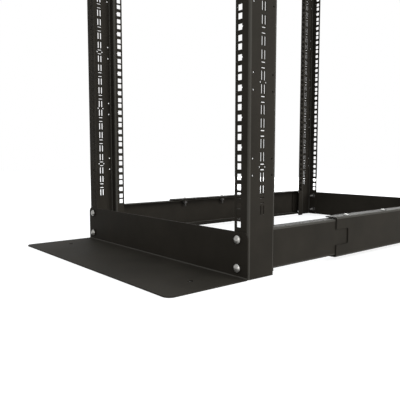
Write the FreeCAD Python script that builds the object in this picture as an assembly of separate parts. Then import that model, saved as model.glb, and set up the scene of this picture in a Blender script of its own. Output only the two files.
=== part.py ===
import FreeCAD
import Part
import os

# Four-post open frame rack, in millimetres.
# X runs to the right, Y to the back and Z up. The rack is drawn with Y measured from the front mounting faces
# and is then moved so that the origin is under the middle of its bounding box, on the floor.

# Standard of the mounting holes
RACK_UNITS = 20
UNIT = 44.45
HOLES_IN_UNIT = (6.35, 22.225, 38.1)
HOLE_SIDE = 9.5
COLUMN_SPACING = 465.1
CLEAR_WIDTH = 447.0
TAIL_CLEAR_WIDTH = 468.0

# Overall sizes
RACK_WIDTH = 509.6
FACE_TO_FACE = 804.0
END_HEIGHT = 90.0
POST_HEIGHT = 2 * END_HEIGHT + RACK_UNITS * UNIT

# Sheet metal
SHEET = 2.0
HALF_SHEET = SHEET / 2
BEND_INSIDE = 1.6

# Posts: their webs stand a little inside the ends of the panels
POSTS_WIDTH = 508.0
POST_DEPTH = 58.0
TAIL_REACH = 19.6
TAIL_HOLE_FROM_EDGE = 7.7

# Panels and the floor plate
PANEL_HEIGHT = 72.5
PANEL_CORNER = 10.0
PLATE_REACH = 150.5
PLATE_CORNER = 12.0
ANCHOR_SPACING = 410.0
ANCHOR_FROM_FACE = 73.0
ANCHOR_RADIUS = 4.5

# Telescoping side rails: the front channel slides inside the rear one, and both clear the tails of the posts
RAIL_CLEAR_WIDTH = 460.0
FRONT_CHANNEL_BOTTOM = 9.3
FRONT_CHANNEL_TOP = 75.4
FRONT_CHANNEL_END = 460.0
REAR_CHANNEL_BOTTOM = 5.8
REAR_CHANNEL_TOP = 79.0
REAR_CHANNEL_START = 225.0
CHANNEL_SIDE_GAP = 0.6
RAIL_END_GAP = 0.2
TAIL_GAP = 2.0
NOTCH_LENGTH = 36.5
NOTCH_BOTTOM = 28.0
NOTCH_TOP = 57.0
NOTCH_CORNER = 4.0

# Angle brackets that join the rail ends to the posts
BRACKET_THICKNESS = 3.0
BRACKET_LEG = 30.0
BRACKET_HEIGHT = 58.0
BRACKET_TIP_GAP = 1.0

# Places worked out from the sizes above
HALF_WIDTH = RACK_WIDTH / 2
COLUMN_X = COLUMN_SPACING / 2
TAIL_OUTER_X = TAIL_CLEAR_WIDTH / 2 + SHEET
CHANNEL_TIP_X = RAIL_CLEAR_WIDTH / 2
COPED_X = TAIL_OUTER_X + TAIL_GAP
COPE_REACH = POST_DEPTH + TAIL_REACH + TAIL_GAP
FRONT_CHANNEL_X = HALF_WIDTH - SHEET - CHANNEL_SIDE_GAP
RAIL_MIDDLE_Z = (FRONT_CHANNEL_BOTTOM + FRONT_CHANNEL_TOP) / 2
REAR_CLOSING_Y = FACE_TO_FACE - POST_DEPTH
BOX_MIDDLE_Y = (FACE_TO_FACE + SHEET - PLATE_REACH) / 2
CUT_MARGIN = 1.0

LEFT_RIGHT = FreeCAD.Vector(1, 0, 0)
FRONT_BACK = FreeCAD.Vector(0, 1, 0)
TOP_BOTTOM = FreeCAD.Vector(0, 0, 1)
RACK_CENTRE = FreeCAD.Vector(0, FACE_TO_FACE / 2, POST_HEIGHT / 2)


def edges_along_z(solid, places):
    """The straight edges along Z that stand on one of the given places in XY."""
    found = []
    for edge in solid.Edges:
        low, high = edge.Vertexes[0].Point, edge.Vertexes[-1].Point
        if abs(low.z - high.z) < SHEET:
            continue
        for x, y in places:
            if abs(low.x - x) < 0.01 and abs(low.y - y) < 0.01:
                found.append(edge)
    return found


def folded_sheet(path, length):
    """A sheet folded along path, the middle line of its section in XY, and extruded up Z by length."""
    normals = []
    for (x0, y0), (x1, y1) in zip(path, path[1:]):
        run = FreeCAD.Vector(x1 - x0, y1 - y0, 0).normalize()
        normals.append(FreeCAD.Vector(-run.y, run.x, 0))
    offsets = [normals[0]]
    inside = []
    outside = []
    for index in range(1, len(path) - 1):
        before, after = normals[index - 1], normals[index]
        mitre = (before + after) / (1 + before.dot(after))
        offsets.append(mitre)
        turns_left = before.cross(after).z > 0
        toward = HALF_SHEET if turns_left else -HALF_SHEET
        x, y = path[index]
        inside.append((x + mitre.x * toward, y + mitre.y * toward))
        outside.append((x - mitre.x * toward, y - mitre.y * toward))
    offsets.append(normals[-1])
    left = [FreeCAD.Vector(x, y, 0) + off * HALF_SHEET for (x, y), off in zip(path, offsets)]
    right = [FreeCAD.Vector(x, y, 0) - off * HALF_SHEET for (x, y), off in zip(path, offsets)]
    outline = left + right[::-1]
    section = Part.Face(Part.makePolygon(outline + [outline[0]]))
    solid = section.extrude(FreeCAD.Vector(0, 0, length))
    solid = solid.makeFillet(BEND_INSIDE + SHEET, edges_along_z(solid, outside))
    return solid.makeFillet(BEND_INSIDE, edges_along_z(solid, inside))


def box(x_range, y_range, z_range):
    """A block between the given limits, in either order."""
    low = FreeCAD.Vector(min(x_range), min(y_range), min(z_range))
    high = FreeCAD.Vector(max(x_range), max(y_range), max(z_range))
    size = high - low
    return Part.makeBox(size.x, size.y, size.z, low)


def around(middle, width):
    """The limits of a width centred on middle."""
    return middle - width / 2, middle + width / 2


def hole_heights():
    """Heights of the mounting holes that the base and top panels leave free."""
    lowest = PANEL_HEIGHT + HOLE_SIDE
    highest = POST_HEIGHT - lowest
    heights = []
    for unit in range(-1, RACK_UNITS + 1):
        for step in HOLES_IN_UNIT:
            height = END_HEIGHT + unit * UNIT + step
            if lowest < height < highest:
                heights.append(height)
    return heights


def front_right_post():
    """Mounting flange, web, closing flange and tail, folded from one sheet and punched."""
    flange_y = HALF_SHEET
    web_x = POSTS_WIDTH / 2 - HALF_SHEET
    closing_y = POST_DEPTH - HALF_SHEET
    tail_x = TAIL_OUTER_X - HALF_SHEET
    tail_end = POST_DEPTH + TAIL_REACH
    path = [
        (CLEAR_WIDTH / 2, flange_y),
        (web_x, flange_y),
        (web_x, closing_y),
        (tail_x, closing_y),
        (tail_x, tail_end),
    ]
    post = folded_sheet(path, POST_HEIGHT)
    punches = []
    through = SHEET + 2 * CUT_MARGIN
    for height in hole_heights():
        rows = around(height, HOLE_SIDE)
        punches.append(box(around(COLUMN_X, HOLE_SIDE), around(flange_y, through), rows))
        tail_hole = around(tail_end - TAIL_HOLE_FROM_EDGE, HOLE_SIDE)
        punches.append(box(around(tail_x, through), tail_hole, rows))
    return post.cut(Part.makeCompound(punches))


def edges_across_sheet(sheet, x, y, z):
    """The short edges across a sheet with their middle at x on the left or right, and at y and z."""
    found = []
    for edge in sheet.Edges:
        middle = edge.CenterOfMass
        away = max(abs(abs(middle.x) - x), abs(middle.y - y), abs(middle.z - z))
        if away < CUT_MARGIN / 2 and edge.Length < SHEET + CUT_MARGIN:
            found.append(edge)
    return found


def front_stabilizer():
    """One sheet bent into the upright front panel and the floor plate in front of the rack."""
    path = [(-PLATE_REACH, HALF_SHEET), (-HALF_SHEET, HALF_SHEET), (-HALF_SHEET, PANEL_HEIGHT)]
    sheet = folded_sheet(path, RACK_WIDTH)
    sheet.rotate(FreeCAD.Vector(0, 0, 0), FreeCAD.Vector(1, 1, 1), 120)
    sheet.translate(FreeCAD.Vector(-HALF_WIDTH, 0, 0))
    sheet = sheet.makeFillet(PLATE_CORNER, edges_across_sheet(sheet, HALF_WIDTH, -PLATE_REACH, HALF_SHEET))
    sheet = sheet.makeFillet(PANEL_CORNER, edges_across_sheet(sheet, HALF_WIDTH, -HALF_SHEET, PANEL_HEIGHT))
    for side in (-1, 1):
        place = FreeCAD.Vector(side * ANCHOR_SPACING / 2, -ANCHOR_FROM_FACE, -CUT_MARGIN)
        sheet = sheet.cut(Part.makeCylinder(ANCHOR_RADIUS, SHEET + 2 * CUT_MARGIN, place))
    return sheet


def cross_panel(front_y, bottom):
    """A flat panel across two posts, with rounded corners."""
    depth_range = (front_y, front_y + SHEET)
    panel = box(around(0, RACK_WIDTH), depth_range, (bottom, bottom + PANEL_HEIGHT))
    corners = [edge for edge in panel.Edges if abs(edge.Length - SHEET) < CUT_MARGIN / 2]
    return panel.makeFillet(PANEL_CORNER, corners)


def channel(outer_x, bottom, top, start_y, end_y, cope_y):
    """A channel along Y with flanges toward the middle of the rack, cut back over cope_y for a tail."""
    path = [
        (CHANNEL_TIP_X, bottom + HALF_SHEET),
        (outer_x - HALF_SHEET, bottom + HALF_SHEET),
        (outer_x - HALF_SHEET, top - HALF_SHEET),
        (CHANNEL_TIP_X, top - HALF_SHEET),
    ]
    rail = folded_sheet(path, end_y - start_y)
    rail.rotate(FreeCAD.Vector(0, 0, 0), LEFT_RIGHT, 90)
    rail.translate(FreeCAD.Vector(0, end_y, 0))
    cope_x = (CHANNEL_TIP_X - CUT_MARGIN, COPED_X)
    return rail.cut(box(cope_x, cope_y, (bottom - CUT_MARGIN, top + CUT_MARGIN)))


def front_channel():
    """The inner channel, from just behind the front post back into the rear channel."""
    start_y = POST_DEPTH + RAIL_END_GAP
    cope_y = (start_y - CUT_MARGIN, COPE_REACH)
    heights = (FRONT_CHANNEL_BOTTOM, FRONT_CHANNEL_TOP)
    return channel(FRONT_CHANNEL_X, *heights, start_y, FRONT_CHANNEL_END, cope_y)


def rear_channel():
    """The outer channel, with a notch in its front end that shows how far the inner one is drawn out."""
    end_y = REAR_CLOSING_Y - RAIL_END_GAP
    cope_y = (FACE_TO_FACE - COPE_REACH, end_y + CUT_MARGIN)
    heights = (REAR_CHANNEL_BOTTOM, REAR_CHANNEL_TOP)
    rail = channel(HALF_WIDTH, *heights, REAR_CHANNEL_START, end_y, cope_y)
    notch_x = (HALF_WIDTH - SHEET - CUT_MARGIN, HALF_WIDTH + CUT_MARGIN)
    notch_y = (REAR_CHANNEL_START - NOTCH_CORNER, REAR_CHANNEL_START + NOTCH_LENGTH)
    notch = box(notch_x, notch_y, (NOTCH_BOTTOM, NOTCH_TOP))
    inner_end = [
        edge for edge in notch.Edges
        if abs(edge.CenterOfMass.y - notch_y[1]) < CUT_MARGIN and edge.Vertexes[0].Z == edge.Vertexes[1].Z
        and edge.Vertexes[0].Y == edge.Vertexes[1].Y
    ]
    return rail.cut(notch.makeFillet(NOTCH_CORNER, inner_end))


def bracket(web_x, post_y, toward):
    """An angle against a post's closing flange at post_y, with its long leg inside a channel's web."""
    tip_x = COPED_X + BRACKET_TIP_GAP
    back_x = web_x - SHEET
    inner_x = back_x - BRACKET_THICKNESS
    inner_y = post_y + toward * BRACKET_THICKNESS
    end_y = post_y + toward * BRACKET_LEG
    outline = [
        (tip_x, post_y),
        (back_x, post_y),
        (back_x, end_y),
        (inner_x, end_y),
        (inner_x, inner_y),
        (tip_x, inner_y),
    ]
    bottom = RAIL_MIDDLE_Z - BRACKET_HEIGHT / 2
    points = [FreeCAD.Vector(x, y, bottom) for x, y in outline]
    section = Part.Face(Part.makePolygon(points + [points[0]]))
    return section.extrude(FreeCAD.Vector(0, 0, BRACKET_HEIGHT))


def both_sides(name, right):
    """The right-hand piece and its mirror image on the left."""
    return {"right_" + name: right, "left_" + name: right.mirror(RACK_CENTRE, LEFT_RIGHT)}


def base_and_top(name, base):
    """A base rail piece and its mirror image at the top, on both sides."""
    top = base.mirror(RACK_CENTRE, TOP_BOTTOM)
    return {**both_sides("base_" + name, base), **both_sides("top_" + name, top)}


def rack():
    """All pieces of the rack by name."""
    post = front_right_post()
    rear_post = post.mirror(RACK_CENTRE, FRONT_BACK)
    top_panel_bottom = POST_HEIGHT - PANEL_HEIGHT
    pieces = {
        "front_stabilizer": front_stabilizer(),
        "rear_base_panel": cross_panel(FACE_TO_FACE, 0),
        "front_top_panel": cross_panel(-SHEET, top_panel_bottom),
        "rear_top_panel": cross_panel(FACE_TO_FACE, top_panel_bottom),
    }
    pieces.update(both_sides("front_post", post))
    pieces.update(both_sides("rear_post", rear_post))
    pieces.update(base_and_top("rail_front_channel", front_channel()))
    pieces.update(base_and_top("rail_rear_channel", rear_channel()))
    pieces.update(base_and_top("rail_front_bracket", bracket(FRONT_CHANNEL_X, POST_DEPTH, 1)))
    pieces.update(base_and_top("rail_rear_bracket", bracket(HALF_WIDTH, REAR_CLOSING_Y, -1)))
    return pieces


os.makedirs("parts", exist_ok=True)
for node, shape in rack().items():
    shape.translate(FreeCAD.Vector(0, -BOX_MIDDLE_Y, 0))
    shape.exportStep("parts/" + node + ".step")
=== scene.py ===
"""Looks of a four-post open frame rack: folded sheet posts, panels and rails, and their bolts.

Lengths are in metres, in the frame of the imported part: X to the right, Y to the back and Z up from
the floor. Colours are linear.
"""
import math

import bpy
import numpy as np
from mathutils import Matrix, Vector
from mathutils.geometry import delaunay_2d_cdt


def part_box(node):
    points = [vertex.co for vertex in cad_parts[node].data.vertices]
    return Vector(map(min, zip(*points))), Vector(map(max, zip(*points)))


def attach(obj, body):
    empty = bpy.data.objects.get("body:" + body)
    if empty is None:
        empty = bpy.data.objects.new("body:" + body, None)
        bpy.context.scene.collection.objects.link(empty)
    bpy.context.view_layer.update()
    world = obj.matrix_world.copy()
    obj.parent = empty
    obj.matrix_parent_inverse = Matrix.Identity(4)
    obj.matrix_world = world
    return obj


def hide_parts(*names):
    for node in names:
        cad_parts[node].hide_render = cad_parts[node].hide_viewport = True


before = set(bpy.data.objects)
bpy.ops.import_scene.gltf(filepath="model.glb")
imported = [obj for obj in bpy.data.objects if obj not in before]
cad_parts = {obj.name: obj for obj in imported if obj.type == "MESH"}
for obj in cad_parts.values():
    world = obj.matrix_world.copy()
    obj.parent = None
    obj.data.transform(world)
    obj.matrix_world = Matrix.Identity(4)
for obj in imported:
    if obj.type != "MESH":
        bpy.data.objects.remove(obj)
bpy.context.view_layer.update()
BODY = "root"
COAT_SLOT = "black_powder_coat"
ZINC_SLOT = "bright_zinc"

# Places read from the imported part
POST_LOW, POST_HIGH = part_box("right_front_post")
FLANGE_TIP_X = POST_LOW.x
POST_WEB_X = POST_HIGH.x
FRONT_Y = POST_LOW.y
TAIL_END = POST_HIGH.y - POST_LOW.y
POST_HEIGHT = POST_HIGH.z
REAR_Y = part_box("right_rear_post")[1].y
PANEL_LOW, PANEL_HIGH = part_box("rear_base_panel")
HALF_WIDTH = PANEL_HIGH.x
SHEET = PANEL_HIGH.y - PANEL_LOW.y
HALF_SHEET = SHEET / 2
PANEL_HEIGHT = PANEL_HIGH.z - PANEL_LOW.z
PLATE_REACH = FRONT_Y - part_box("front_stabilizer")[0].y

# Sheet metal; the wear of a cut edge is that of its rim and of the eased strips on both sides of it
BEND_INSIDE = 0.0016
BEND_RADIUS = BEND_INSIDE + HALF_SHEET
BEND_STEPS = 8
BEND_LINE_STEP = 0.022
EDGE_EASE = 0.00016
EDGE_WEAR = (0.4, 1.0, 1.0)
ROUNDING = 1e-9
TOLERANCE = 1e-6

# Post section and its square holes, 9.5 mm wide before the coat
CLOSING_DEPTH = 0.058
TAIL_CLEAR_WIDTH = 0.468
COLUMN_X = 0.4651 / 2
UNIT = 0.04445
HOLES_IN_UNIT = (0.00635, 0.022225, 0.0381)
MIDDLE_HOLE = 1
END_HEIGHT = 0.090
HOLE_SIDE = 0.0093
HOLE_NOTCH = 0.0018
TAIL_HOLE_FROM_EDGE = 0.0077

# Lacing slots of the post webs: above and below a centre, a cross slot and two upright legs
LACING_FROM_FACE = 0.0295
LACING_START = 0.1208
LACING_PITCH = 0.0508
LACING_TOP_MARGIN = 0.120
LEG_FROM_CENTRE = 0.0031
LEG_WIDTH = 0.0028
LEG_CORNER = LEG_WIDTH * 0.25
LEG_NEAR = 0.0084
LEG_FAR = 0.0224
CROSS_SLOT_WIDTH = 2 * LEG_FROM_CENTRE + LEG_WIDTH
CROSS_SLOT_HEIGHT = 0.0015
CROSS_SLOT_CORNER = CROSS_SLOT_HEIGHT * 0.35
CROSS_SLOT_AT = 0.0042
SLOT_CORNER_STEPS = 2

# Dots and small round holes beside the lacing slots
DOT_EVERY = 0.127
DOT_FROM_CENTRE = 0.0060
DOT_RADIUS = 0.0016
DOT_STEPS = 10
SMALL_HOLE_FROM_CENTRE = 0.0210
SMALL_HOLE_RISE = 0.0127
SMALL_HOLE_RADIUS = 0.0016
SMALL_HOLE_STEPS = 14

# Panels and the floor plate
PANEL_CORNER = 0.010
PLATE_CORNER = 0.012
CORNER_STEPS = 8
ANCHOR_X = 0.205
ANCHOR_FROM_FACE = 0.073
ANCHOR_RADIUS = 0.0045
ANCHOR_STEPS = 24

# Side rails: flanges cut back beside the tails of the posts, the notch of the outer channels, and the
# tab of their webs that reaches into the rounded corner of the rear posts
TAIL_GAP = 0.0006
TAB_REACH = 0.0009
NOTCH_LENGTH = 0.0365
NOTCH_BOTTOM = 0.028
NOTCH_TOP = 0.057
NOTCH_CORNER = 0.004
NOTCH_STEPS = 4

# Bolts: heads and washers as (radius, height); the thread fills the bore of the nut
PANEL_HEAD = (0.0067, 0.0044)
RAIL_HEAD = (0.0048, 0.0027)
HEAD_RIM = 0.0007
HEAD_POINTS = 10
SHANK_RADIUS = 0.003
THREAD_PITCH = 0.001
THREAD_DEPTH = 0.0004
SHANK_CHAMFER = 2 * THREAD_DEPTH
NUT_ACROSS = 0.010
NUT_HEIGHT = 0.005
NUT_CHAMFER_RADIUS = NUT_ACROSS / 2 * 1.02
NUT_CHAMFER_HEIGHT = NUT_HEIGHT * 0.09
NUT_BORE = SHANK_RADIUS * 0.98
NUT_MOUTH = SHANK_RADIUS * 1.12
NUT_STEPS = 48
NUT_WASHER = (0.0062, 0.0012)
HEAD_WASHER = (0.0075, 0.0023)
WASHER_BORE = SHANK_RADIUS * 1.06
WASHER_EASED_PART = 0.2
TURN_STEPS = 32
SHARP_DEG = 32
PANEL_BOLT_X = 0.2340
PANEL_BOLT_HEIGHTS = (0.0162, 0.0162 + UNIT)
PANEL_BOLT_LENGTH = 0.024
RAIL_BOLT_X = 0.2433
RAIL_BOLT_FROM_FACE = (0.268, 0.400)
RAIL_BOLT_LENGTH = 0.021

# Noise patterns as (scale, detail), bumps as (strength, distance), and parts of the noise's range
NOISE_MIDDLE = (0.35, 0.65)
NOISE_WIDE = (0.3, 0.7)
NOISE_HIGH = (0.45, 0.75)
FULL_RANGE = (0, 1)
COAT_MOTTLE = (14, 4)
WEAR_PATCHES = (60, 3)
ORANGE_PEEL = (420, 3)
ORANGE_PEEL_BUMP = (0.10, 0.0004)
GRAIN = (900, 2)
GRAIN_BUMP = (0.06, 0.0002)
ZINC_CLOUD = (260, 3)
ZINC_GLOSS = (1400, 2)

# Black powder coat and bright zinc
COAT_DARK = (0.0196, 0.0172, 0.0137, 1)
COAT_LIGHT = (0.0270, 0.0237, 0.0190, 1)
COAT_WORN = (0.042, 0.039, 0.034, 1)
# A lighter coat colour on the bends: a painted highlight in place of the sheen of their rounded outer
# sides
COAT_PAINTED_BEND_HIGHLIGHT = (0.058, 0.0545, 0.0475, 1)
COAT_WEAR = (0.15, 0.8)
COAT_ROUGHNESS = (0.62, 0.70)
COAT_SPECULAR = 0.05
ZINC_DARK = (0.30, 0.292, 0.275, 1)
ZINC_LIGHT = (0.39, 0.38, 0.357, 1)
ZINC_DULL = (0.10, 0.095, 0.09, 1)
ZINC_METALLIC = 0.55
ZINC_ROUGHNESS = (0.26, 0.36)

# Sockets of a mix node that only their number tells apart
MIX_FIRST_COLOUR = 6
MIX_SECOND_COLOUR = 7
MIX_COLOUR_RESULT = 2

# Stage
WHITE = (1, 1, 1, 1)
FLOOR_REACH = 6.0
FLOOR_BELOW = 0.0004
FLOOR_COLOUR = (0.4, 0.4, 0.4, 1)
FLOOR_ROUGHNESS = 0.9
FLOOR_GLOW = 0.75
WORLD_COLOUR = (1, 0.99, 0.97, 1)
WORLD_LIGHT = 0.2

# Lights: softboxes as (name, place, target, size, watts), and a wide sun for the sky
SOFTBOXES = (
    ("right_softbox", (3.8, 2.2, 1.6), (0, 0, 0.3), 2.8, 142),
    ("front_softbox", (2.2, -1.9, 1.1), (0, 0, 0.3), 1.8, 42),
    ("back_softbox", (-1.7, 2.8, 1.0), (0, 0, 0.2), 2.0, 90),
)
SKY_PLACE = (0.3, 0.2, 3.0)
SKY_TARGET = (0, 0, 0)
SKY_SPREAD_DEG = 70
SKY_STRENGTH = 1.15
SKY_COLOUR = (0.80, 0.92, 1.0)

# View of the photograph, in an image of 400 by 400 pixels
IMAGE_PIXELS = 400
FOCAL_PIXELS = 486.1
SENSOR_MM = 36.0
CAMERA_X = 0.7638
CAMERA_FROM_FACE = 0.5185
CAMERA_HEIGHT = 0.1858
CAMERA_DOWN_DEG = 4.982
CAMERA_TURN_DEG = 50.254


# Outlines in the flat sheet, as points (along the section, along the length)

def rectangle(s_range, t_range):
    """A rectangle, counter-clockwise."""
    (s0, s1), (t0, t1) = s_range, t_range
    return [(s0, t0), (s1, t0), (s1, t1), (s0, t1)]


def arc(centre, radius, start_deg, end_deg, steps):
    """Points of an arc, both ends included."""
    angles = np.radians(np.linspace(start_deg, end_deg, steps + 1))
    return [(centre[0] + radius * math.cos(a), centre[1] + radius * math.sin(a)) for a in angles]


def circle(centre, radius, steps):
    """A round hole, counter-clockwise."""
    return arc(centre, radius, 0, 360, steps)[:-1]


def rounded_rectangle(s_range, t_range, low_radius, high_radius, steps=CORNER_STEPS):
    """A rectangle with one corner radius at its low end along the section and one at its high end."""
    (s0, s1), (t0, t1) = s_range, t_range
    points = arc((s0 + low_radius, t0 + low_radius), low_radius, 180, 270, steps)
    points += arc((s1 - high_radius, t0 + high_radius), high_radius, 270, 360, steps)
    points += arc((s1 - high_radius, t1 - high_radius), high_radius, 0, 90, steps)
    points += arc((s0 + low_radius, t1 - low_radius), low_radius, 90, 180, steps)
    return points


def slot(s_range, t_range, corner):
    """A slot with softly rounded corners."""
    return rounded_rectangle(s_range, t_range, corner, corner, SLOT_CORNER_STEPS)


def around(middle, width):
    """The limits of a width centred on middle."""
    return middle - width / 2, middle + width / 2


def square_hole(centre, notch_side):
    """A mounting hole, with a small pointed notch on the side +1 or -1, or with none for 0."""
    s, t = centre
    half = HOLE_SIDE / 2
    points = rectangle((s - half, s + half), (t - half, t + half))
    if notch_side:
        edge = s + notch_side * half
        tip = edge + notch_side * HOLE_NOTCH
        notch = [(edge, t - notch_side * HOLE_NOTCH), (tip, t), (edge, t + notch_side * HOLE_NOTCH)]
        past_corner = 2 if notch_side > 0 else 4
        points[past_corner:past_corner] = notch
    return points


# Folded sheets

class Section:
    """The middle line of a folded sheet: straight runs joined by quarter-round bends."""

    def __init__(self, corners):
        corners = np.array(corners)
        self.pieces = []
        self.run_starts = []
        self.bends = []
        self.bend_lines = []
        length = 0.0
        last = len(corners) - 2
        for index in range(last + 1):
            start, end = corners[index], corners[index + 1]
            along = (end - start) / np.linalg.norm(end - start)
            before = BEND_RADIUS if index else 0.0
            after = BEND_RADIUS if index < last else 0.0
            self.run_starts.append((length, before))
            run = np.linalg.norm(end - start) - before - after
            self.pieces.append((length, length + run, start + along * before, along, 0))
            length += run
            if index < last:
                onward = corners[index + 2] - end
                turn = math.copysign(1, along[0] * onward[1] - along[1] * onward[0])
                bend = BEND_RADIUS * math.pi / 2
                self.pieces.append((length, length + bend, end - along * BEND_RADIUS, along, turn))
                self.bends.append((length, length + bend))
                self.bend_lines += list(np.linspace(length, length + bend, BEND_STEPS + 1))
                length += bend
        self.length = length

    def on_run(self, run, distance):
        """Developed length at a distance from the corner where a run starts."""
        start, setback = self.run_starts[run]
        return start + distance - setback

    def is_bent(self, length):
        """True where a developed length lies in a bend."""
        return any(start < length < end for start, end in self.bends)

    def at(self, lengths):
        """Points and left-hand normals of the middle line at developed lengths."""
        points = np.zeros((len(lengths), 2))
        normals = np.zeros((len(lengths), 2))
        for start, end, first, along, turn in self.pieces:
            left = np.array([-along[1], along[0]])
            inside = (lengths >= start - ROUNDING) & (lengths <= end + ROUNDING)
            travel = (lengths[inside] - start)[:, None]
            if turn == 0:
                points[inside] = first + along * travel
                normals[inside] = left
            else:
                angle = travel / BEND_RADIUS
                normal = left * np.cos(angle) - turn * along * np.sin(angle)
                points[inside] = first + turn * BEND_RADIUS * (left - normal)
                normals[inside] = normal
        return points, normals


def eased(loop):
    """The loop moved to its left, into the sheet, by the easing of the cut edges."""
    before = loop - np.roll(loop, 1, axis=0)
    after = np.roll(loop, -1, axis=0) - loop

    def left(run):
        sideways = np.column_stack([-run[:, 1], run[:, 0]])
        return sideways / np.linalg.norm(sideways, axis=1, keepdims=True)

    first, second = left(before), left(after)
    mitre = (first + second) / (1 + np.sum(first * second, axis=1, keepdims=True))
    return loop + EDGE_EASE * mitre


def holds(loop, point):
    """True where the point is inside the closed loop."""
    x, y = point
    x0, y0 = loop[:, 0], loop[:, 1]
    x1, y1 = np.roll(x0, -1), np.roll(y0, -1)
    spans = (y0 > y) != (y1 > y)
    crossing = x0[spans] + (y - y0[spans]) * (x1[spans] - x0[spans]) / (y1[spans] - y0[spans])
    return np.count_nonzero(crossing > x) % 2 == 1


def loop_edges(loops):
    """Pairs of neighbours in closed loops, whose points are numbered one loop after the other."""
    edges = []
    start = 0
    for loop in loops:
        count = len(loop)
        edges += [(start + i, start + (i + 1) % count) for i in range(count)]
        start += count
    return edges


def with_bend_points(outline, bend_lines):
    """The outline with a point wherever a bend line meets an edge that crosses the section."""
    points = []
    for (s0, t0), (s1, t1) in zip(outline, outline[1:] + outline[:1]):
        points.append((s0, t0))
        if abs(t0 - t1) > ROUNDING:
            continue
        low, high = min(s0, s1) + TOLERANCE, max(s0, s1) - TOLERANCE
        crossed = [s for s in bend_lines if low < s < high]
        points += [(s, t0) for s in (crossed if s1 > s0 else crossed[::-1])]
    return points


def bend_rows(outline, line):
    """The two outline points that a bend line joins, and the places of the points between them."""
    ends = [i for i, p in enumerate(outline) if abs(p[0] - line) < TOLERANCE]
    low, high = sorted(ends, key=lambda i: outline[i][1])
    rows = max(1, round((outline[high][1] - outline[low][1]) / BEND_LINE_STEP))
    return low, high, np.linspace(outline[low][1], outline[high][1], rows + 1)[1:-1]


def flat_triangles(loops, bend_lines):
    """Vertices of the eased loops and bend lines, and the triangles of the sheet between them.

    The first loop is the outline and the others are holes. A triangle can lie outside the sheet only
    where its three corners are on one loop.
    """
    inner = [eased(loop) for loop in loops]
    points = [tuple(p) for loop in inner for p in loop]
    owner = [index for index, loop in enumerate(inner) for _ in loop]
    edges = loop_edges(inner)
    for line in bend_lines:
        low, high, between = bend_rows(inner[0], line)
        chain = [low] + list(range(len(points), len(points) + len(between))) + [high]
        points += [(line, t) for t in between]
        owner += [None] * len(between)
        edges += list(zip(chain, chain[1:]))
    cut = delaunay_2d_cdt([Vector(p) for p in points], edges, [], 0, ROUNDING)
    flat = np.array([tuple(p) for p in cut[0]])
    if len(flat) != len(points):
        raise ValueError("two cut edges of a sheet meet or cross")
    kept = []
    for triangle in cut[2]:
        owners = {owner[i] for i in triangle}
        loop = owners.pop()
        if not owners and loop is not None:
            is_hole = loop > 0
            if holds(inner[loop], flat[list(triangle)].mean(axis=0)) == is_hole:
                continue
        kept.append(tuple(triangle))
    return flat, kept


def placed(section, points, axes, origin):
    """Places of flat points in the middle of the folded sheet, and the sheet's normals there."""
    across, up, along = axes
    middle, normal = section.at(points[:, 0])
    place = middle[:, :1] * across + middle[:, 1:] * up + points[:, 1:] * along + np.array(origin)
    return place, normal[:, :1] * across + normal[:, 1:] * up


def rim_strips(loops, top, bottom, rim_top, rim_bottom):
    """Faces along the cut edges, in threes: the rim and the eased strips on both sides of it."""
    strips = []
    for a, b in loop_edges(loops):
        strips.append((rim_bottom + a, rim_bottom + b, rim_top + b, rim_top + a))
        strips.append((rim_top + a, rim_top + b, top + b, top + a))
        strips.append((bottom + a, bottom + b, rim_bottom + b, rim_bottom + a))
    return strips


def new_piece(name, vertices, faces, **face_values):
    """A smooth-shaded object in the scene, with values kept on its faces by attribute name."""
    mesh = bpy.data.meshes.new(name)
    mesh.from_pydata(vertices, [], faces)
    mesh.polygons.foreach_set("use_smooth", [True] * len(faces))
    for attribute, values in face_values.items():
        mesh.attributes.new(attribute, "FLOAT", "FACE").data.foreach_set("value", values)
    piece = bpy.data.objects.new(name, mesh)
    bpy.context.scene.collection.objects.link(piece)
    return piece


def folded_sheet(name, section, outline, holes, axes, origin):
    """A folded sheet with eased edges; axes are the directions of its section's two axes and length."""
    axes = np.array(axes, float)
    loops = [np.array(with_bend_points(outline, section.bend_lines))]
    loops += [np.array(hole[::-1]) for hole in holes]
    flat, triangles = flat_triangles(loops, section.bend_lines)
    rims = np.concatenate(loops)
    side, side_normal = placed(section, flat, axes, origin)
    rim, rim_normal = placed(section, rims, axes, origin)
    to_side = side_normal * HALF_SHEET
    to_rim = rim_normal * (HALF_SHEET - EDGE_EASE)
    vertices = np.concatenate([side + to_side, side - to_side, rim + to_rim, rim - to_rim])
    top, bottom = 0, len(flat)
    rim_top, rim_bottom = 2 * len(flat), 2 * len(flat) + len(rims)

    mirrored = np.linalg.det(axes) < 0
    turn = 1 if mirrored else -1
    faces = [tuple(triangle[::turn]) for triangle in triangles]
    faces += [tuple(bottom + i for i in triangle[::-turn]) for triangle in triangles]
    normals = [side_normal[i] for triangle in triangles for i in triangle[::turn]]
    normals += [-side_normal[i] for triangle in triangles for i in triangle[::-turn]]
    for strip in rim_strips(loops, top, bottom, rim_top, rim_bottom):
        face = strip[::turn]
        p, q, r = (vertices[i] for i in face[:3])
        normal = np.cross(q - p, r - p)
        faces.append(face)
        normals += [normal / np.linalg.norm(normal)] * len(face)

    # Faces in the bends carry a painted highlight, a lighter coat colour mixed in by the material
    bent = [float(section.is_bent(np.mean([flat[i][0] for i in triangle]))) for triangle in triangles]
    worn = list(EDGE_WEAR) * len(rims)
    edge_wear = [0.0] * (2 * len(triangles)) + worn
    on_bend = 2 * bent + [0.0] * len(worn)
    piece = new_piece(name, vertices.tolist(), faces, edge_wear=edge_wear, on_bend=on_bend)
    piece.data.normals_split_custom_set([tuple(n) for n in normals])
    return piece


def dress(piece, material, slot_name, *nodes):
    """Gives a piece its material and its body, and hides the imported nodes it stands for."""
    piece.data.materials.append(material)
    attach(piece, BODY)
    if nodes:
        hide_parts(*nodes)


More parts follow.
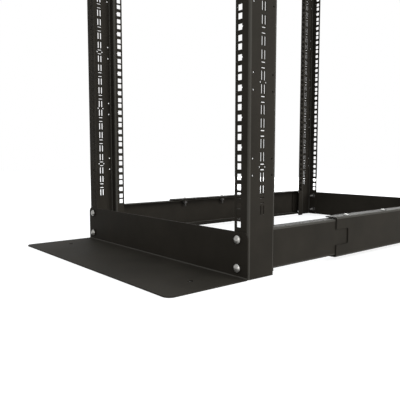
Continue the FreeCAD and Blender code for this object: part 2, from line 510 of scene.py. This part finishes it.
def make_sheet(node, section, outline, holes, axes, origin, coat):
    """The coated sheet that stands for a node."""
    piece = folded_sheet(node + "_sheet", section, outline, holes, axes, origin)
    dress(piece, coat, COAT_SLOT, node)


# Posts

def hole_rows():
    """Heights of the mounting holes that the panels leave free, each with its place in its unit."""
    units = round((POST_HEIGHT - 2 * END_HEIGHT) / UNIT)
    lowest = PANEL_HEIGHT + HOLE_SIDE
    rows = []
    for unit in range(-1, units + 1):
        for index, step in enumerate(HOLES_IN_UNIT):
            height = END_HEIGHT + unit * UNIT + step
            if lowest < height < POST_HEIGHT - lowest:
                rows.append((height, index))
    return rows


def lacing_holes(middle):
    """Slots for cable ties up the middle of a web, with the small holes beside them."""
    holes = []
    top = POST_HEIGHT - LACING_TOP_MARGIN
    for height in np.arange(LACING_START, top, LACING_PITCH):
        for rise in (-1, 1):
            cross_s = around(middle, CROSS_SLOT_WIDTH)
            cross_t = around(height + rise * CROSS_SLOT_AT, CROSS_SLOT_HEIGHT)
            holes.append(slot(cross_s, cross_t, CROSS_SLOT_CORNER))
            leg_t = sorted((height + rise * LEG_NEAR, height + rise * LEG_FAR))
            for side in (-1, 1):
                leg_s = around(middle + side * LEG_FROM_CENTRE, LEG_WIDTH)
                holes.append(slot(leg_s, leg_t, LEG_CORNER))
    for height in np.arange(LACING_START + LACING_PITCH, top, DOT_EVERY):
        for side in (-1, 1):
            holes.append(circle((middle + side * DOT_FROM_CENTRE, height), DOT_RADIUS, DOT_STEPS))
            for rise in (-1, 1):
                centre = (middle + side * SMALL_HOLE_FROM_CENTRE, height + rise * SMALL_HOLE_RISE)
                holes.append(circle(centre, SMALL_HOLE_RADIUS, SMALL_HOLE_STEPS))
    return holes


def make_posts(coat):
    """The four posts, mirror images of each other."""
    web_x = POST_WEB_X - HALF_SHEET
    tail_x = TAIL_CLEAR_WIDTH / 2 + HALF_SHEET
    closing_y = CLOSING_DEPTH - HALF_SHEET
    section = Section([
        (FLANGE_TIP_X, HALF_SHEET),
        (web_x, HALF_SHEET),
        (web_x, closing_y),
        (tail_x, closing_y),
        (tail_x, TAIL_END),
    ])
    flange_s = section.on_run(0, COLUMN_X - FLANGE_TIP_X)
    tail_s = section.length - TAIL_HOLE_FROM_EDGE
    holes = []
    for height, index in hole_rows():
        notch_side = 1 if index == MIDDLE_HOLE else 0
        holes.append(square_hole((flange_s, height), notch_side))
        holes.append(square_hole((tail_s, height), -notch_side))
    holes += lacing_holes(section.on_run(1, LACING_FROM_FACE - HALF_SHEET))
    outline = rectangle((0, section.length), (0, POST_HEIGHT))
    for side, x_sign in (("left", -1), ("right", 1)):
        for end, face_y, y_sign in (("front", FRONT_Y, 1), ("rear", REAR_Y, -1)):
            axes = ((x_sign, 0, 0), (0, y_sign, 0), (0, 0, 1))
            make_sheet(f"{side}_{end}_post", section, outline, holes, axes, (0, face_y, 0), coat)


# Panels and the floor plate

def make_stabilizer(coat):
    """One sheet bent into the upright front panel and the floor plate in front of it."""
    corners = [(-PLATE_REACH, HALF_SHEET), (-HALF_SHEET, HALF_SHEET), (-HALF_SHEET, PANEL_HEIGHT)]
    section = Section(corners)
    width = 2 * HALF_WIDTH
    outline = rounded_rectangle((0, section.length), (0, width), PLATE_CORNER, PANEL_CORNER)
    anchor_s = PLATE_REACH - ANCHOR_FROM_FACE
    anchors = []
    for side in (-1, 1):
        anchors.append(circle((anchor_s, HALF_WIDTH + side * ANCHOR_X), ANCHOR_RADIUS, ANCHOR_STEPS))
    axes = ((0, 1, 0), (0, 0, 1), (1, 0, 0))
    origin = (-HALF_WIDTH, FRONT_Y, 0)
    make_sheet("front_stabilizer", section, outline, anchors, axes, origin, coat)


def make_panels(coat):
    """The flat panels across the rear posts and across the top."""
    section = Section([(-HALF_WIDTH, 0), (HALF_WIDTH, 0)])
    outline = rounded_rectangle((0, section.length), (0, PANEL_HEIGHT), PANEL_CORNER, PANEL_CORNER)
    axes = ((1, 0, 0), (0, 1, 0), (0, 0, 1))
    for node in ("rear_base_panel", "front_top_panel", "rear_top_panel"):
        low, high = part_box(node)
        origin = (0, (low.y + high.y) / 2, low.z)
        make_sheet(node, section, outline, [], axes, origin, coat)


# Telescoping side rails

def channel_section(low, high):
    """Section of a channel whose flanges point at the middle of the rack."""
    web_x = high.x - HALF_SHEET
    bottom, top = low.z + HALF_SHEET, high.z - HALF_SHEET
    return Section([(low.x, bottom), (web_x, bottom), (web_x, top), (low.x, top)])


def inner_outline(section, length, cut_s, cut_t):
    """Outline of the inner channel, its flanges cut back by cut_s over a length cut_t in front."""
    width = section.length
    points = [(0, cut_t), (cut_s, cut_t), (cut_s, 0)]
    points += [(width - cut_s, 0), (width - cut_s, cut_t), (width, cut_t)]
    return points + [(width, length), (0, length)]


def outer_outline(section, length, cut_s, cut_t, bottom):
    """Outline of the outer channel, notched in front, its flanges cut back beside a tab at the rear."""
    width = section.length
    low = section.on_run(1, NOTCH_BOTTOM - bottom - HALF_SHEET)
    high = section.on_run(1, NOTCH_TOP - bottom - HALF_SHEET)
    deep = NOTCH_LENGTH - NOTCH_CORNER
    points = [(0, 0), (low, 0)]
    points += arc((low + NOTCH_CORNER, deep), NOTCH_CORNER, 180, 90, NOTCH_STEPS)
    points += arc((high - NOTCH_CORNER, deep), NOTCH_CORNER, 90, 0, NOTCH_STEPS)
    points += [(high, 0), (width, 0), (width, length - cut_t), (width - cut_s, length - cut_t)]
    tab_low = section.bends[0][1] + TAB_REACH
    tab_high = section.bends[1][0] - TAB_REACH
    points += [(width - cut_s, length), (tab_high, length), (tab_high, length + TAB_REACH)]
    points += [(tab_low, length + TAB_REACH), (tab_low, length), (cut_s, length)]
    return points + [(cut_s, length - cut_t), (0, length - cut_t)]


def make_rails(coat):
    """The inner (front) and outer (rear) channels of the four side rails."""
    cut_x = TAIL_CLEAR_WIDTH / 2 + SHEET + TAIL_GAP
    cut_reach = TAIL_END + TAIL_GAP
    for end in ("front", "rear"):
        low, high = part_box(f"right_base_rail_{end}_channel")
        section = channel_section(low, high)
        length = high.y - low.y
        cut_s = cut_x - low.x
        if end == "front":
            outline = inner_outline(section, length, cut_s, FRONT_Y + cut_reach - low.y)
        else:
            outline = outer_outline(section, length, cut_s, high.y - REAR_Y + cut_reach, low.z)
        for side, x_sign in (("left", -1), ("right", 1)):
            for level, floor_z, z_sign in (("base", 0, 1), ("top", POST_HEIGHT, -1)):
                node = f"{side}_{level}_rail_{end}_channel"
                axes = ((x_sign, 0, 0), (0, 0, z_sign), (0, 1, 0))
                make_sheet(node, section, outline, [], axes, (0, low.y, floor_z), coat)


def dress_brackets(coat):
    """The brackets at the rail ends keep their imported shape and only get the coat."""
    for node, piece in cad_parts.items():
        if node.endswith("_bracket"):
            piece.data.materials.clear()
            piece.data.materials.append(coat)


# Bolts, nuts and washers, each along +Z with its seat at Z 0

def turned(profile, steps):
    """A solid of revolution about Z from points (radius, height), the first and last on the axis."""
    vertices = []
    faces = []
    rings = []
    angles = np.arange(steps) * 2 * math.pi / steps
    for radius, height in profile:
        if radius == 0:
            rings.append([len(vertices)])
            vertices.append((0, 0, height))
            continue
        rings.append(list(range(len(vertices), len(vertices) + steps)))
        vertices += [(radius * math.cos(a), radius * math.sin(a), height) for a in angles]
    for lower, upper in zip(rings, rings[1:]):
        for i in range(steps):
            j = (i + 1) % steps
            if len(lower) == 1:
                faces.append((lower[0], upper[j], upper[i]))
            elif len(upper) == 1:
                faces.append((lower[i], lower[j], upper[0]))
            else:
                faces.append((lower[i], lower[j], upper[j], upper[i]))
    return vertices, faces


def bored(rings, steps):
    """A solid with a bore along Z, from a closed row of rings as (radius or radii, height)."""
    angles = np.arange(steps) * 2 * math.pi / steps
    vertices = []
    faces = []
    for index, (radius, height) in enumerate(rings):
        radii = np.broadcast_to(radius, steps)
        vertices += [(r * math.cos(a), r * math.sin(a), height) for r, a in zip(radii, angles)]
        lower = index * steps
        upper = (index + 1) % len(rings) * steps
        for i in range(steps):
            j = (i + 1) % steps
            faces.append((lower + i, lower + j, upper + j, upper + i))
    return vertices, faces


def round_head_bolt(length, head):
    """A bolt with a threaded shank below Z 0 and a smooth round head above it."""
    radius, head_height = head
    thread_start = -length + SHANK_CHAMFER
    profile = [(0, -length), (SHANK_RADIUS - SHANK_CHAMFER, -length), (SHANK_RADIUS, thread_start)]
    height = thread_start + THREAD_PITCH / 2
    while height < -SHEET:
        profile.append((SHANK_RADIUS - THREAD_DEPTH, height))
        profile.append((SHANK_RADIUS, height + THREAD_PITCH / 2))
        height += THREAD_PITCH
    profile += [(SHANK_RADIUS, 0), (radius - HEAD_RIM / 2, 0), (radius, HEAD_RIM / 2), (radius, HEAD_RIM)]
    rise = head_height - HEAD_RIM
    sphere = (radius ** 2 + rise ** 2) / (2 * rise)
    widest = math.asin(radius / sphere)
    for angle in np.linspace(widest, 0, HEAD_POINTS)[1:-1]:
        profile.append((sphere * math.sin(angle), head_height - sphere * (1 - math.cos(angle))))
    profile.append((0, head_height))
    return turned(profile, TURN_STEPS)


def hexagon_nut():
    """A hexagon nut with chamfered corners, from Z 0 up."""
    angles = np.arange(NUT_STEPS) * 2 * math.pi / NUT_STEPS
    from_flat = (angles + math.pi / 6) % (math.pi / 3) - math.pi / 6
    hexagon = NUT_ACROSS / 2 / np.cos(from_flat)
    chamfered = np.minimum(hexagon, NUT_CHAMFER_RADIUS)
    low, high = NUT_CHAMFER_HEIGHT, NUT_HEIGHT - NUT_CHAMFER_HEIGHT
    rings = [(NUT_BORE, low), (NUT_MOUTH, 0), (chamfered, 0), (hexagon, low)]
    rings += [(hexagon, high), (chamfered, NUT_HEIGHT), (NUT_MOUTH, NUT_HEIGHT), (NUT_BORE, high)]
    return bored(rings, NUT_STEPS)


def washer(rim, height):
    """A flat washer from Z 0 up, with eased rims."""
    ease = height * WASHER_EASED_PART
    rings = [(WASHER_BORE, 0), (rim - ease, 0), (rim, ease)]
    rings += [(rim, height - ease), (rim - ease, height), (WASHER_BORE, height)]
    return bored(rings, TURN_STEPS)


def facing(direction, place):
    """The placement that turns +Z to a direction at a place."""
    turn = Vector(direction).to_track_quat("Z", "Y").to_matrix().to_4x4()
    return Matrix.Translation(place) @ turn


def joined(name, parts, material, slot_name):
    """One piece made of many placed parts, dull on all faces but those of the bolts' heads."""
    vertices = []
    faces = []
    dull = []
    for (points, polygons), placement in parts:
        start = len(vertices)
        vertices += [tuple(placement @ Vector(p)) for p in points]
        faces += [tuple(start + i for i in polygon) for polygon in polygons]
        has_head = min(p[2] for p in points) < 0
        for polygon in polygons:
            on_head = has_head and max(points[i][2] for i in polygon) > 0
            dull.append(0.0 if on_head else 1.0)
    piece = new_piece(name, vertices, faces, dull=dull)
    piece.data.set_sharp_from_angle(angle=math.radians(SHARP_DEG))
    dress(piece, material, slot_name)


def fastened(seat, direction, head, length, grip):
    """A bolt on its seat, with the washer and nut that clamp a stack of thickness grip."""
    out = Vector(direction)
    seat = Vector(seat)
    washer_at = seat - out * (grip + NUT_WASHER[1])
    nut_at = washer_at - out * NUT_HEIGHT
    return [
        (round_head_bolt(length, head), facing(out, seat)),
        (washer(*NUT_WASHER), facing(out, washer_at)),
        (hexagon_nut(), facing(out, nut_at)),
    ]


def make_panel_bolts(zinc, coat):
    """The bolts of the base and top panels, on black washers."""
    stack = HEAD_WASHER[1] + 2 * SHEET
    for end, panel_y, out in (("front", FRONT_Y - SHEET, -1), ("rear", REAR_Y + SHEET, 1)):
        direction = Vector((0, out, 0))
        bolts = []
        washers = []
        for x_sign in (-1, 1):
            for height in PANEL_BOLT_HEIGHTS:
                for z in (height, POST_HEIGHT - height):
                    on_panel = Vector((x_sign * PANEL_BOLT_X, panel_y, z))
                    seat = on_panel + direction * HEAD_WASHER[1]
                    bolts += fastened(seat, direction, PANEL_HEAD, PANEL_BOLT_LENGTH, stack)
                    washers.append((washer(*HEAD_WASHER), facing(direction, on_panel)))
        joined(f"{end}_panel_bolts", bolts, zinc, ZINC_SLOT)
        joined(f"{end}_panel_washers", washers, coat, COAT_SLOT)


def make_rail_bolts(zinc):
    """The bolts that lock the channels of each side rail to each other."""
    outer_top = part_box("right_base_rail_rear_channel")[1].z
    inner_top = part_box("right_base_rail_front_channel")[1].z
    grip = outer_top - inner_top + SHEET
    bolts = []
    for x_sign in (-1, 1):
        for from_face in RAIL_BOLT_FROM_FACE:
            for z, out in ((outer_top, 1), (POST_HEIGHT - outer_top, -1)):
                seat = (x_sign * RAIL_BOLT_X, FRONT_Y + from_face, z)
                bolts += fastened(seat, (0, 0, out), RAIL_HEAD, RAIL_BOLT_LENGTH, grip)
    joined("rail_bolts", bolts, zinc, ZINC_SLOT)


# Materials

class Graph:
    """The node tree of a material or of the world, with short calls for the nodes used here."""

    def __init__(self, owner):
        owner.use_nodes = True
        self.nodes = owner.node_tree.nodes
        self.links = owner.node_tree.links

    def feed(self, socket, value):
        """Links a socket to another node's output, or gives it a fixed value."""
        if isinstance(value, bpy.types.NodeSocket):
            self.links.new(value, socket)
        else:
            socket.default_value = value

    def noise(self, scale, detail):
        """A noise pattern in object space."""
        place = self.nodes.new("ShaderNodeTexCoord")
        node = self.nodes.new("ShaderNodeTexNoise")
        self.feed(node.inputs["Vector"], place.outputs["Object"])
        self.feed(node.inputs["Scale"], scale)
        self.feed(node.inputs["Detail"], detail)
        return node.outputs["Fac"]

    def remap(self, value, from_range, to_range):
        """A value stretched from one range to another, with clamped ends."""
        node = self.nodes.new("ShaderNodeMapRange")
        self.feed(node.inputs["Value"], value)
        for socket, number in zip(("From Min", "From Max", "To Min", "To Max"), from_range + to_range):
            self.feed(node.inputs[socket], number)
        return node.outputs["Result"]

    def bump(self, height, strength, distance, below=None):
        """A fine relief, on top of another where one is given."""
        node = self.nodes.new("ShaderNodeBump")
        self.feed(node.inputs["Height"], height)
        self.feed(node.inputs["Strength"], strength)
        self.feed(node.inputs["Distance"], distance)
        if below:
            self.feed(node.inputs["Normal"], below)
        return node.outputs["Normal"]

    def combine(self, operation, first, second):
        """Two values combined by an operation."""
        node = self.nodes.new("ShaderNodeMath")
        node.operation = operation
        self.feed(node.inputs[0], first)
        self.feed(node.inputs[1], second)
        return node.outputs["Value"]

    def mix_colours(self, factor, first, second):
        """Two colours mixed by a factor."""
        node = self.nodes.new("ShaderNodeMix")
        node.data_type = "RGBA"
        self.feed(node.inputs["Factor"], factor)
        self.feed(node.inputs[MIX_FIRST_COLOUR], first)
        self.feed(node.inputs[MIX_SECOND_COLOUR], second)
        return node.outputs[MIX_COLOUR_RESULT]

    def face_value(self, name):
        """A value kept on the faces of a piece."""
        node = self.nodes.new("ShaderNodeAttribute")
        node.attribute_name = name
        return node.outputs["Fac"]


def new_material(name):
    """A material, its node graph and its shader."""
    material = bpy.data.materials.new(name)
    graph = Graph(material)
    return material, graph, graph.nodes["Principled BSDF"]


def powder_coat():
    """Satin black powder coat with orange peel, slight mottling, worn cut edges and a painted highlight
    on the bends: a lighter coat colour there stands in for their sheen.
    """
    material, graph, shader = new_material("black_powder_coat")
    mottle = graph.noise(*COAT_MOTTLE)
    shade = graph.remap(mottle, NOISE_MIDDLE, FULL_RANGE)
    colour = graph.mix_colours(shade, COAT_DARK, COAT_LIGHT)
    patches = graph.remap(graph.noise(*WEAR_PATCHES), NOISE_HIGH, COAT_WEAR)
    worn = graph.combine("MULTIPLY", graph.face_value("edge_wear"), patches)
    colour = graph.mix_colours(worn, colour, COAT_WORN)
    # Painted highlight: the coat turns lighter on the bends
    colour = graph.mix_colours(graph.face_value("on_bend"), colour, COAT_PAINTED_BEND_HIGHLIGHT)
    graph.feed(shader.inputs["Base Color"], colour)
    graph.feed(shader.inputs["Roughness"], graph.remap(mottle, NOISE_WIDE, COAT_ROUGHNESS))
    shader.inputs["Specular IOR Level"].default_value = COAT_SPECULAR
    peel = graph.bump(graph.noise(*ORANGE_PEEL), *ORANGE_PEEL_BUMP)
    grain = graph.bump(graph.noise(*GRAIN), *GRAIN_BUMP, below=peel)
    graph.feed(shader.inputs["Normal"], grain)
    return material


def bright_zinc():
    """Bright plated steel, darker on threads, nuts and washers, with faint clouding in its gloss."""
    material, graph, shader = new_material("bright_zinc")
    cloud = graph.remap(graph.noise(*ZINC_CLOUD), NOISE_MIDDLE, FULL_RANGE)
    bright = graph.mix_colours(cloud, ZINC_DARK, ZINC_LIGHT)
    colour = graph.mix_colours(graph.face_value("dull"), bright, ZINC_DULL)
    graph.feed(shader.inputs["Base Color"], colour)
    shader.inputs["Metallic"].default_value = ZINC_METALLIC
    gloss = graph.remap(graph.noise(*ZINC_GLOSS), NOISE_WIDE, ZINC_ROUGHNESS)
    graph.feed(shader.inputs["Roughness"], gloss)
    return material


# Stage, light and camera

def seen_by_viewer(graph):
    """1 on camera, glossy and transmission rays, which see the white background, and 0 on others."""
    path = graph.nodes.new("ShaderNodeLightPath")
    value = path.outputs["Is Camera Ray"]
    for name in ("Is Glossy Ray", "Is Transmission Ray"):
        value = graph.combine("MAXIMUM", value, path.outputs[name])
    return value


def stage_sheet(name, x_range, y_range, height):
    """A flat rectangle of the stage, with a pale material of its own."""
    corners = [(x, y, height) for x, y in rectangle(x_range, y_range)]
    sheet = new_piece(name, corners, [(0, 1, 2, 3)])
    material, graph, shader = new_material(name)
    shader.inputs["Base Color"].default_value = FLOOR_COLOUR
    shader.inputs["Roughness"].default_value = FLOOR_ROUGHNESS
    sheet.data.materials.append(material)
    return graph, shader


def make_floor():
    """A pale floor that keeps the rack's soft shadow and meets the white background.

    A sheet without glow lies under the plate, so that the anchor holes look dark.
    """
    wide = (-FLOOR_REACH, FLOOR_REACH)
    graph, shader = stage_sheet("studio_floor", wide, wide, -FLOOR_BELOW)
    shader.inputs["Emission Color"].default_value = WHITE
    glow = graph.remap(seen_by_viewer(graph), FULL_RANGE, (0, FLOOR_GLOW))
    graph.feed(shader.inputs["Emission Strength"], glow)
    covered_x = (PLATE_CORNER - HALF_WIDTH, HALF_WIDTH - PLATE_CORNER)
    covered_y = (FRONT_Y - PLATE_REACH + PLATE_CORNER, FRONT_Y - PLATE_CORNER)
    stage_sheet("floor_under_plate", covered_x, covered_y, -FLOOR_BELOW / 2)


def make_world():
    """White to the viewer, and a softer white for the light that falls on the rack."""
    world = bpy.data.worlds.new("studio")
    graph = Graph(world)
    white = graph.nodes["Background"]
    white.inputs["Color"].default_value = WHITE
    white.inputs["Strength"].default_value = 1.0
    soft = graph.nodes.new("ShaderNodeBackground")
    soft.inputs["Color"].default_value = WORLD_COLOUR
    soft.inputs["Strength"].default_value = WORLD_LIGHT
    mix = graph.nodes.new("ShaderNodeMixShader")
    graph.feed(mix.inputs["Fac"], seen_by_viewer(graph))
    graph.feed(mix.inputs[1], soft.outputs["Background"])
    graph.feed(mix.inputs[2], white.outputs["Background"])
    graph.feed(graph.nodes["World Output"].inputs["Surface"], mix.outputs["Shader"])
    bpy.context.scene.world = world


def aim_light(name, data, place, target):
    """A light at a place that looks at a target."""
    light = bpy.data.objects.new(name, data)
    light.location = place
    light.rotation_euler = (Vector(target) - Vector(place)).to_track_quat("-Z", "Y").to_euler()
    bpy.context.scene.collection.objects.link(light)


def make_lights():
    """Square softboxes on three sides, and an even light from above as soft as its spread."""
    for name, place, target, size, watts in SOFTBOXES:
        softbox = bpy.data.lights.new(name, "AREA")
        softbox.size = size
        softbox.energy = watts
        aim_light(name, softbox, place, target)
    sky = bpy.data.lights.new("sky", "SUN")
    sky.color = SKY_COLOUR
    sky.angle = math.radians(SKY_SPREAD_DEG)
    sky.energy = SKY_STRENGTH
    aim_light("sky", sky, SKY_PLACE, SKY_TARGET)


def make_camera():
    """The photograph's camera."""
    data = bpy.data.cameras.new("camera")
    data.sensor_width = SENSOR_MM
    data.lens = SENSOR_MM * FOCAL_PIXELS / IMAGE_PIXELS
    camera = bpy.data.objects.new("camera", data)
    camera.location = (CAMERA_X, FRONT_Y - CAMERA_FROM_FACE, CAMERA_HEIGHT)
    camera.rotation_euler = (math.radians(90 - CAMERA_DOWN_DEG), 0, math.radians(CAMERA_TURN_DEG))
    bpy.context.scene.collection.objects.link(camera)
    bpy.context.scene.camera = camera


coat = powder_coat()
zinc = bright_zinc()
make_posts(coat)
make_stabilizer(coat)
make_panels(coat)
make_rails(coat)
make_panel_bolts(zinc, coat)
make_rail_bolts(zinc)
dress_brackets(coat)

make_floor()
make_world()
make_lights()
make_camera()
bpy.context.scene.view_settings.view_transform = "Standard"
